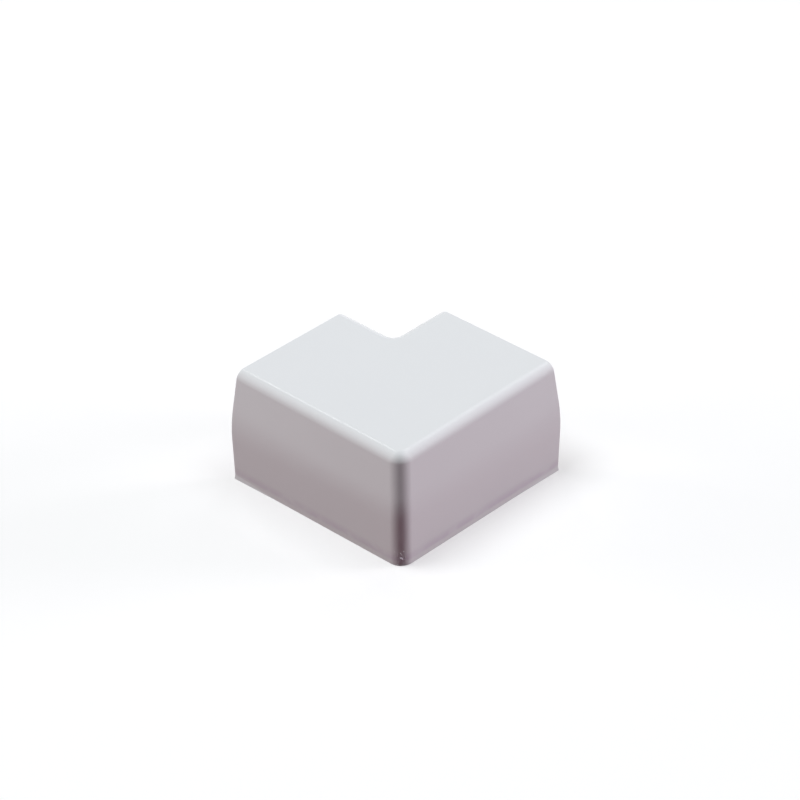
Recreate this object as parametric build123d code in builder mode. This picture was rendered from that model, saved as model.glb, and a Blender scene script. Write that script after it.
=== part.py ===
from build123d import *
import os

# Flat 90 degree bend that clips over two lengths of rectangular duct.
# One moulded shell, open underneath and at the mouth of each leg.
# It lies on its rim, with one leg along +X and the other along +Y.

# The duct that slides into each mouth
duct_width = 90.0
duct_height = 65.0

# The shell
wall = 1.8
side_gap = 0.4  # beside the duct, each side
top_gap = 0.2  # over the duct
inside_run = 35.1  # straight run of a leg past the inside of the bend
flare = 2.55  # how much further out a side wall stands at the mouth than at the corner

# Side wall of a leg, which leans out from its foot to a rounded belly and then leans in to the top
belly_height = 36.0
belly_round = 80.0
tuck = 1.1  # how far the foot stands in from the belly
shoulder = 6.75  # how far the top edge stands in from the belly, at the mouth

# Foot of each side wall, turned out a little near the mouth
lip_out = 0.65
lip_height = 2.8
lip_run = 36.0  # from the mouth to where the lip has died away

# Rounded edges
outer_corner = 8.0
inner_corner = 4.0
top_round = 6.0
mouth_round = 0.5

# Sizes that follow
mouth_width = duct_width + 2 * (side_gap + wall)
corner_width = mouth_width - 2 * (tuck + flare)
height = duct_height + top_gap + wall
leg_length = corner_width + inside_run

# The outer corner, the mouth and the middle of each leg, alike on X and Y
corner = -(leg_length - flare - tuck) / 2
mouth = corner + leg_length
middle = corner + corner_width / 2
mitre = Plane(origin=(corner, corner, 0), x_dir=(1, 1, 0), z_dir=(1, -1, 0))
leg_middle = Plane(origin=(mouth, middle, 0), x_dir=(1, 0, 0), z_dir=(0, 1, 0))
on_mitre = 0.01  # an edge nearer to the mitre than this lies on it


def half_width(distance):
    """Half of a leg's width at its foot, at a distance from the corner."""
    return corner_width / 2 + flare * distance / leg_length


def station(distance):
    """Plane across the leg along +X, with its origin under the middle of the leg."""
    return Plane(origin=(corner + distance, middle, 0), x_dir=(0, 1, 0), z_dir=(1, 0, 0))


def leg_section(distance, inset, drop):
    """Section of a leg, drawn in by an inset and let down below the rim by a drop."""
    belly = half_width(distance) + tuck - inset
    foot = belly - tuck * (belly_height + drop) / belly_height
    top = mouth_width / 2 - shoulder - inset
    crown = height - inset
    bends = (foot, -drop), (belly, belly_height), (top, crown)
    with BuildSketch(station(distance)) as section:
        with BuildLine():
            side = FilletPolyline(*bends, radius=belly_round - inset)
            Line((0, -drop), side @ 0)
            Line(side @ 1, (0, crown))
            mirror(about=Plane.YZ)
        make_face()
    return section.sketch


def bend_form(inset=0, overrun=0):
    """Solid form of the bend, drawn in by an inset, with an overrun past the mouths and the rim."""
    across = Axis((corner, corner, 0), (1, -1, 0))
    inward = Axis((corner, corner, 0), (1, 1, 0))
    with BuildPart() as form:
        loft([leg_section(-wall, inset, overrun), leg_section(leg_length + overrun, inset, overrun)])
        split(bisect_by=mitre, keep=Keep.TOP)
        mirror(about=mitre)
        folds = form.edges().filter_by_position(across, -on_mitre, on_mitre).sort_by(inward)
        fillet(folds[: len(folds) // 2], outer_corner - inset)
        fillet(folds[len(folds) // 2 :], inner_corner + inset)
        top_edges = form.faces().sort_by(Axis.Z)[-1].edges()
        fillet(top_edges.sort_by(Axis.X)[:-1].sort_by(Axis.Y)[:-1], top_round - inset)
    return form.part


# Turned-out feet: a slender wedge on each wall, widest at the mouth, which dies away along the foot
with BuildPart() as lips:
    foot = half_width(leg_length)
    wall_over_lip = foot + tuck * lip_height / belly_height
    with BuildSketch(station(leg_length)) as lip_section:
        with BuildLine():
            Polyline((foot - wall / 2, 0), (foot + lip_out, 0), (wall_over_lip, lip_height), close=True)
        make_face()
    tip = leg_length - lip_run
    tip_point = station(tip).from_local_coords((half_width(tip), 0, 0))
    loft([lip_section.sketch, Vertex(tip_point)])
    mirror(about=leg_middle)
    mirror(about=mitre)

with BuildPart() as flat_bend:
    add(bend_form())
    add(lips.part)
    mouth_faces = flat_bend.faces().sort_by(Axis.X)[-1:] + flat_bend.faces().sort_by(Axis.Y)[-1:]
    fillet(mouth_faces.edges().sort_by(Axis.Z)[len(mouth_faces) :], mouth_round)
    add(bend_form(inset=wall, overrun=wall), mode=Mode.SUBTRACT)

flat_bend.part.label = "flat_bend"
os.makedirs("parts", exist_ok=True)
export_step(flat_bend.part, "parts/flat_bend.step")
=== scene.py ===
import math

import bmesh
import bpy
import mathutils.noise
from mathutils import Matrix, Vector


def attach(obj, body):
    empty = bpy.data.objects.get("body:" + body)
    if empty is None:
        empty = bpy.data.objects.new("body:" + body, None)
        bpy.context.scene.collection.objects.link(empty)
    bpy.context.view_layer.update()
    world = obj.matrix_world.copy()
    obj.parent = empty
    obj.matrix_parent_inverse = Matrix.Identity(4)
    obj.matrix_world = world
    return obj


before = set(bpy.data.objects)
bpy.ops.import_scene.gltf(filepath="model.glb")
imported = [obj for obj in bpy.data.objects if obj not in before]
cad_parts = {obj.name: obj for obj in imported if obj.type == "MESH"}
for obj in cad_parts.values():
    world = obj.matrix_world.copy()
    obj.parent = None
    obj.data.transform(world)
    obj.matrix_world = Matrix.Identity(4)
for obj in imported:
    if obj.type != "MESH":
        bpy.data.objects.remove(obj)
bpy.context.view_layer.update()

# Camera, in metres, degrees and millimetres of lens
CAMERA_PLACE = Vector((-0.80213, -0.76832, 0.80676))
CAMERA_YAW = 43.655
CAMERA_PITCH = 34.295
CAMERA_ROLL = 0.692
CAMERA_LENS = 113.2
CAMERA_SENSOR = 36.0
CAMERA_SIDE = CAMERA_YAW + 180  # the way from the object to the camera

# Lamps: azimuth runs from the camera's side towards its left, half angles say how large a lamp looks,
# and a level is what a white card that faces the lamp shows
LAMP_DISTANCE = 8.0
LAMP_AIM = Vector((0, 0, 0.04))
NEUTRAL = (1.0, 1.0, 1.0)
COOL = (0.95, 0.98, 1.0)
WARM = (1.0, 0.90, 0.89)
ROSE = (1.0, 0.91, 0.98)
SOFTBOXES = {
    # name: azimuth, elevation, half angle across, half angle upward, level, colour
    "left_top": (90, 70, 14, 14, 0.545, COOL),
    "right_top": (-90, 70, 14, 14, 0.225, COOL),
    "left_side": (96, 8, 12, 10, 0.42, WARM),
    "right_side": (-96, 8, 12, 10, 0.67, ROSE),
}
# Lamps that also show in the gloss, as bright lines along the rounded edges
EDGE_LAMPS = {
    "left_edge": (160, 49, 4, 4, 0.041, NEUTRAL),
    "right_edge": (-150, 45, 12, 12, 0.075, NEUTRAL),
}

# Floor: its white, the glow that lifts it, and its colour for the light that it throws back
FLOOR_SIZE = 4.0
FLOOR_WHITE = (0.65, 0.65, 0.65, 1)
FLOOR_GLOW = 0.40
FLOOR_BOUNCE = (0.14, 0.03, 0.06, 1)

# Plastic: colours, and scales of the noise in its tone, its gloss and its moulded skin
WHITE = (0.80, 0.82, 0.83, 1)
WHITE_SHADE = (0.785, 0.803, 0.815, 1)
TONE_SCALE = 22
GLOSS_ROUGHNESS = (0.21, 0.28)
GLOSS_SCALE = 60
SKIN_SCALE = 700
SKIN_DEPTH = 0.000012

# Painted shade in a thin darker line over the foot, where shade falls above the lip: where the line starts,
# is thickest and ends, and the noise at which it is broken and whole
PAINTED_SHADE = (0.71, 0.685, 0.74, 1)
PAINTED_SHADE_HEIGHTS = (0.0022, 0.0042, 0.0095)
PAINTED_SHADE_SCALE = 90
PAINTED_SHADE_BREAKS = (0.2, 0.6)

# Scuffed skin at the foot of the outer corner: where it has died out, and the noise at which chips rise
SCUFF_PLACE = (-0.0574, -0.0571, 0.0054)
SCUFF_REACH = 0.0050
SCUFF_SCALE = 900
SCUFF_CHIPS = (0.45, 0.65)
SCUFF_DEPTH = 0.00012

# Burrs that stand a little proud of the scuff, on the rounded outer corner
CORNER_AXIS = Vector((-0.0513, -0.0513, 0))
CORNER_FACING = 225
BURRS = (
    # height over the rim in mm, degrees round from the middle of the corner, length in mm
    (5.0, 0, 2.1),
    (7.4, 0, 0.7),
    (8.4, -3, 0.8),
    (9.5, 8, 0.7),
    (7.8, -13, 0.6),
    (6.5, -15, 0.7),
    (9.0, -23, 0.6),
    (0.7, -13, 0.9),
)
BURR_SHAPE = (0.5, 0.26, 0.3)  # how far a burr reaches along, across and outward, for a length of 1
BURR_LEAN = -46
BURR_FINENESS = 2  # subdivisions of the ball that a burr is made from
BURR_JITTER = 0.35
BURR_JITTER_SCALE = 2
BURR_RAY = 0.05  # from the corner's axis to where the search for its surface starts

UP = Vector((0, 0, 1))
MM_PER_METRE = 1000
scene = bpy.context.scene


def direction(turn, lift):
    """Unit vector at a turn about the vertical and a lift over the level, in degrees."""
    turn, lift = math.radians(turn), math.radians(lift)
    return Vector((math.cos(lift) * math.cos(turn), math.cos(lift) * math.sin(turn), math.sin(lift)))


def aimed(name, data, place, right, upward, backward):
    """Camera or lamp at a place, turned by its own three axes."""
    axes = Matrix((right, upward, backward)).transposed()
    thing = bpy.data.objects.new(name, data)
    thing.matrix_world = Matrix.Translation(place) @ axes.to_4x4()
    scene.collection.objects.link(thing)
    return thing


def add_camera():
    """Camera that looks along its yaw and pitch, turned a little about its own axis."""
    data = bpy.data.cameras.new("camera")
    data.lens = CAMERA_LENS
    data.sensor_width = CAMERA_SENSOR
    ahead = direction(CAMERA_YAW, -CAMERA_PITCH)
    right = ahead.cross(UP).normalized()
    down = ahead.cross(right)
    roll = Matrix.Rotation(math.radians(CAMERA_ROLL), 3, ahead)
    scene.camera = aimed("camera", data, CAMERA_PLACE, roll @ right, -(roll @ down), -ahead)


def add_lamp(name, azimuth, elevation, half_across, half_upward, level, color, in_gloss):
    """Oval softbox that looks at the object."""
    half_width = LAMP_DISTANCE * math.tan(math.radians(half_across))
    half_height = LAMP_DISTANCE * math.tan(math.radians(half_upward))
    data = bpy.data.lights.new(name, "AREA")
    data.shape = "ELLIPSE"
    data.size = 2 * half_width
    data.size_y = 2 * half_height
    data.energy = level * math.pi**2 * (half_width * half_height + LAMP_DISTANCE**2)
    data.color = color
    toward = direction(CAMERA_SIDE - azimuth, elevation)
    across = UP.cross(toward).normalized()
    lamp = aimed(name, data, LAMP_AIM + LAMP_DISTANCE * toward, across, toward.cross(across), toward)
    lamp.visible_camera = False
    lamp.visible_glossy = in_gloss


def new_material(name):
    """Empty node material, with its tree and its output."""
    material = bpy.data.materials.new(name)
    material.use_nodes = True
    tree = material.node_tree
    tree.nodes.clear()
    output = tree.nodes.new("ShaderNodeOutputMaterial")
    return material, tree, output


def combine(tree, operation, first, second):
    """What a math operation makes of two values."""
    node = tree.nodes.new("ShaderNodeMath")
    node.operation = operation
    tree.links.new(first, node.inputs[0])
    tree.links.new(second, node.inputs[1])
    return node.outputs[0]


def product(tree, first, second):
    """First value times the second."""
    return combine(tree, "MULTIPLY", first, second)


def noise(tree, place, scale):
    """Noise from 0 to 1 over the surface, at a scale in waves per metre."""
    node = tree.nodes.new("ShaderNodeTexNoise")
    node.inputs["Scale"].default_value = scale
    tree.links.new(place, node.inputs["Vector"])
    return node.outputs["Fac"]


def ramp(tree, value, start, end, low=0.0, high=1.0):
    """Smooth change from low to high, as a value goes from start to end."""
    node = tree.nodes.new("ShaderNodeMapRange")
    node.interpolation_type = "SMOOTHSTEP"
    node.inputs["From Min"].default_value = start
    node.inputs["From Max"].default_value = end
    node.inputs["To Min"].default_value = low
    node.inputs["To Max"].default_value = high
    tree.links.new(value, node.inputs["Value"])
    return node.outputs["Result"]


def blend(tree, share, first, second):
    """Mix of two colours, the first of which may be another node's."""
    node = tree.nodes.new("ShaderNodeMix")
    node.data_type = "RGBA"
    if isinstance(first, bpy.types.NodeSocket):
        tree.links.new(first, node.inputs["A"])
    else:
        node.inputs["A"].default_value = first
    node.inputs["B"].default_value = second
    tree.links.new(share, node.inputs["Factor"])
    return node.outputs["Result"]


def relief(tree, height, depth, under=None):
    """Bumps of a depth, over any bumps under them."""
    node = tree.nodes.new("ShaderNodeBump")
    node.inputs["Distance"].default_value = depth
    tree.links.new(height, node.inputs["Height"])
    if under:
        tree.links.new(under, node.inputs["Normal"])
    return node.outputs["Normal"]


def seen_rays(tree):
    """1 for rays that see: the camera's, and those in reflections and through glass."""
    rays = tree.nodes.new("ShaderNodeLightPath").outputs
    camera_or_gloss = combine(tree, "MAXIMUM", rays["Is Camera Ray"], rays["Is Glossy Ray"])
    return combine(tree, "MAXIMUM", camera_or_gloss, rays["Is Transmission Ray"])


def floor_material():
    """White to the eye and in reflections, with the object's shadow, and darker as a source of light."""
    material, tree, output = new_material("floor")
    white = tree.nodes.new("ShaderNodeBsdfDiffuse")
    white.inputs["Color"].default_value = FLOOR_WHITE
    glow = tree.nodes.new("ShaderNodeEmission")
    glow.inputs["Strength"].default_value = FLOOR_GLOW
    shown = tree.nodes.new("ShaderNodeAddShader")
    bounce = tree.nodes.new("ShaderNodeBsdfDiffuse")
    bounce.inputs["Color"].default_value = FLOOR_BOUNCE
    surface = tree.nodes.new("ShaderNodeMixShader")
    tree.links.new(white.outputs[0], shown.inputs[0])
    tree.links.new(glow.outputs[0], shown.inputs[1])
    tree.links.new(seen_rays(tree), surface.inputs["Fac"])
    tree.links.new(bounce.outputs[0], surface.inputs[1])
    tree.links.new(shown.outputs[0], surface.inputs[2])
    tree.links.new(surface.outputs[0], output.inputs["Surface"])
    return material


def add_floor():
    """Plain square floor under the object."""
    half = FLOOR_SIZE / 2
    corners = [(-half, -half, 0), (half, -half, 0), (half, half, 0), (-half, half, 0)]
    mesh = bpy.data.meshes.new("floor")
    mesh.from_pydata(corners, [], [(0, 1, 2, 3)])
    mesh.materials.append(floor_material())
    floor = bpy.data.objects.new("floor", mesh)
    scene.collection.objects.link(floor)


def set_world():
    """White to the eye and in reflections, and no light of its own on the object."""
    world = bpy.data.worlds.new("studio")
    world.use_nodes = True
    tree = world.node_tree
    background = tree.nodes["Background"]
    background.inputs["Color"].default_value = (1, 1, 1, 1)
    tree.links.new(seen_rays(tree), background.inputs["Strength"])
    scene.world = world


def painted_shade_line(tree, place):
    """Share of painted shade: a broken line at one height."""
    start, middle, end = PAINTED_SHADE_HEIGHTS
    axes = tree.nodes.new("ShaderNodeSeparateXYZ")
    tree.links.new(place, axes.inputs[0])
    rise = ramp(tree, axes.outputs["Z"], start, middle)
    fall = ramp(tree, axes.outputs["Z"], middle, end, 1, 0)
    breaks = ramp(tree, noise(tree, place, PAINTED_SHADE_SCALE), *PAINTED_SHADE_BREAKS)
    return product(tree, product(tree, rise, fall), breaks)


def scuff_height(tree, place):
    """Small chips where noise is high, which die out away from the scuff's own place."""
    distance = tree.nodes.new("ShaderNodeVectorMath")
    distance.operation = "DISTANCE"
    distance.inputs[1].default_value = SCUFF_PLACE
    tree.links.new(place, distance.inputs[0])
    nearness = ramp(tree, distance.outputs["Value"], 0, SCUFF_REACH, 1, 0)
    chips = ramp(tree, noise(tree, place, SCUFF_SCALE), *SCUFF_CHIPS)
    return product(tree, nearness, chips)


def plastic_material():
    """Satin-gloss white plastic, faintly uneven, with a line of painted shade over the foot and a scuffed
    corner.
    """
    material, tree, output = new_material("white_plastic")
    place = tree.nodes.new("ShaderNodeTexCoord").outputs["Object"]
    white = blend(tree, noise(tree, place, TONE_SCALE), WHITE, WHITE_SHADE)
    gloss = ramp(tree, noise(tree, place, GLOSS_SCALE), 0, 1, *GLOSS_ROUGHNESS)
    skin = relief(tree, noise(tree, place, SKIN_SCALE), SKIN_DEPTH)
    chips = relief(tree, scuff_height(tree, place), SCUFF_DEPTH, skin)
    surface = tree.nodes.new("ShaderNodeBsdfPrincipled")
    # The broken darker line over the foot is painted shade, blended into the base colour
    tree.links.new(blend(tree, painted_shade_line(tree, place), white, PAINTED_SHADE), surface.inputs["Base Color"])
    tree.links.new(gloss, surface.inputs["Roughness"])
    tree.links.new(chips, surface.inputs["Normal"])
    tree.links.new(surface.outputs[0], output.inputs["Surface"])
    return material


def corner_surface(bend, height, turn):
    """Place on the rounded corner at a height in mm and a turn, and the way that the surface faces there."""
    outward = direction(CORNER_FACING + turn, 0)
    start = CORNER_AXIS + BURR_RAY * outward + Vector((0, 0, height / MM_PER_METRE))
    _, place, normal, _ = bend.ray_cast(start, -outward)
    return place, normal


def add_burr(burrs, place, normal, length, seed):
    """Uneven lump with a length in mm, half sunk into the surface, across which it leans."""
    across = UP.cross(normal).normalized()
    along = Matrix.Rotation(math.radians(BURR_LEAN), 3, normal) @ across
    axes = Matrix((along, normal.cross(along), normal)).transposed()
    ball = bmesh.ops.create_icosphere(burrs, subdivisions=BURR_FINENESS, radius=1)
    for vert in ball["verts"]:
        uneven = 1 + BURR_JITTER * mathutils.noise.noise(BURR_JITTER_SCALE * vert.co + seed)
        size = uneven * length / MM_PER_METRE
        vert.co = place + axes @ Vector([size * share * c for share, c in zip(BURR_SHAPE, vert.co)])


def add_burrs(bend, material):
    """Small lumps of torn plastic on the rounded corner's own surface."""
    burrs = bmesh.new()
    for height, turn, length in BURRS:
        place, normal = corner_surface(bend, height, turn)
        add_burr(burrs, place, normal, length, Vector((height, turn, length)))
    mesh = bpy.data.meshes.new("corner_burrs")
    burrs.to_mesh(mesh)
    burrs.free()
    mesh.materials.append(material)
    for face in mesh.polygons:
        face.use_smooth = True
    piece = bpy.data.objects.new("corner_burrs", mesh)
    scene.collection.objects.link(piece)
    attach(piece, "root")


# Studio
add_camera()
for name, lamp in SOFTBOXES.items():
    add_lamp(name, *lamp, in_gloss=False)
for name, lamp in EDGE_LAMPS.items():
    add_lamp(name, *lamp, in_gloss=True)
add_floor()
set_world()
scene.view_settings.view_transform = "Standard"

# The bend itself
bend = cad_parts["flat_bend"]
plastic = plastic_material()
bend.data.materials.clear()
bend.data.materials.append(plastic)
add_burrs(bend, plastic)
